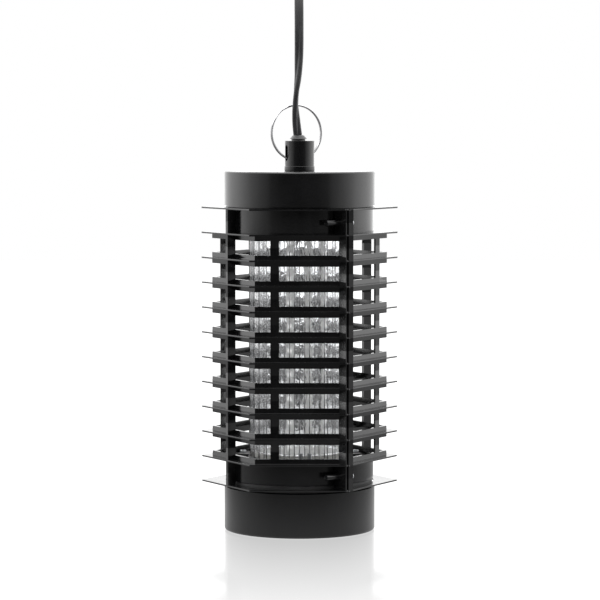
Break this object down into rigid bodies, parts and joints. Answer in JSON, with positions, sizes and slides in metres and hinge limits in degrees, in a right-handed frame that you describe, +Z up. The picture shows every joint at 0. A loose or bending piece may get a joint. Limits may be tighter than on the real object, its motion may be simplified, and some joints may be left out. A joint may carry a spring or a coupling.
{
  "type": "electric bug zapper",
  "caption": "Hanging six-sided electric insect killer with louvred cage, high-voltage wire grid, LED lamp, hanging ring, mains lead and twist-off tray.",
  "frame": {"origin": "on the vertical axis of the cage, at the underside of the tray it stands on", "axes": "+Z up along the cage's axis, -Y towards the front, +X to the front's right, through a corner of the six-sided cage"},
  "size_m": [0.13, 0.2248, 0.3908],
  "materials": {
    "black_gloss": "glossy black moulded plastic",
    "black_soft": "satin black moulded plastic",
    "black_nylon": "satin black nylon",
    "ring_steel": "bright spring steel",
    "screw_steel": "zinc-plated steel",
    "grid_steel": "drawn stainless wire",
    "bus_brass": "drawn brass",
    "white_nylon": "white insulating nylon",
    "lamp_clear": "clear crackled acrylic tube",
    "strip_board": "white solder mask",
    "led_lens": "phosphor-coated LED package",
    "green_board": "green solder mask",
    "capacitor_case": "dipped film capacitor",
    "diode_case": "moulded epoxy",
    "resistor_case": "lacquered body",
    "wire_insulation": "silicone insulation",
    "lamp_insulation": "PVC insulation",
    "cord_jacket": "satin black PVC",
    "tie_strip": "satin black plastic strip",
    "plug_black": "fine-textured black plastic",
    "pin_plating": "nickel plating"
  },
  "bodies": {
    "housing": {"top_cap": "black_gloss", "hanger_neck": "black_gloss", "neck_nut": "black_nylon", "cable_gland": "black_soft", "inner_lead": "cord_jacket", "cord_stop": "white_nylon", "upper_collar": "black_gloss", "cage_half_front": "black_gloss", "cage_half_rear": "black_gloss", "seam_screws": "screw_steel", "lower_collar": "black_gloss", "grid_top_plate": "white_nylon", "grid_base": "black_nylon", "grid_screws": "screw_steel", "live_wires": "grid_steel", "return_wires": "grid_steel", "live_bus": "bus_brass", "return_bus": "bus_brass", "terminal_posts": "screw_steel", "lamp_tube": "lamp_clear", "lamp_head": "white_nylon", "lamp_foot": "white_nylon", "led_strips": "strip_board", "led_chips": "led_lens", "circuit_board": "green_board", "board_screws": "screw_steel", "capacitors": "capacitor_case", "diodes": "diode_case", "resistors": "resistor_case", "grid_leads": "wire_insulation", "lamp_leads": "lamp_insulation", "cord_tube": "cord_jacket", "cord_coil": "cord_jacket", "coil_tie": "tie_strip", "plug_sleeve": "cord_jacket", "plug_body": "plug_black", "plug_pins": "pin_plating"},
    "ring": {"hanging_ring": "ring_steel"},
    "lock": {"lock_ring": "black_nylon"},
    "tray": {"tray_cup": "black_gloss"}
  },
  "joints": [
    {"name": "ring_swing", "type": "hinge", "parent": "housing", "child": "ring", "pos_m": [0, 0, 0.24805], "axis": [-0.8893, -0.4337, -0.1453], "range_deg": [0, 90]},
    {"name": "tray_twist", "type": "hinge", "parent": "housing", "child": "lock", "pos_m": [0, 0, 0.0327], "axis": [0, 0, 1], "range_deg": [0, 20]},
    {"name": "tray_slide", "type": "slide", "parent": "lock", "child": "tray", "axis": [0, 0, -1], "range_m": [0, 0.04]}
  ]
}
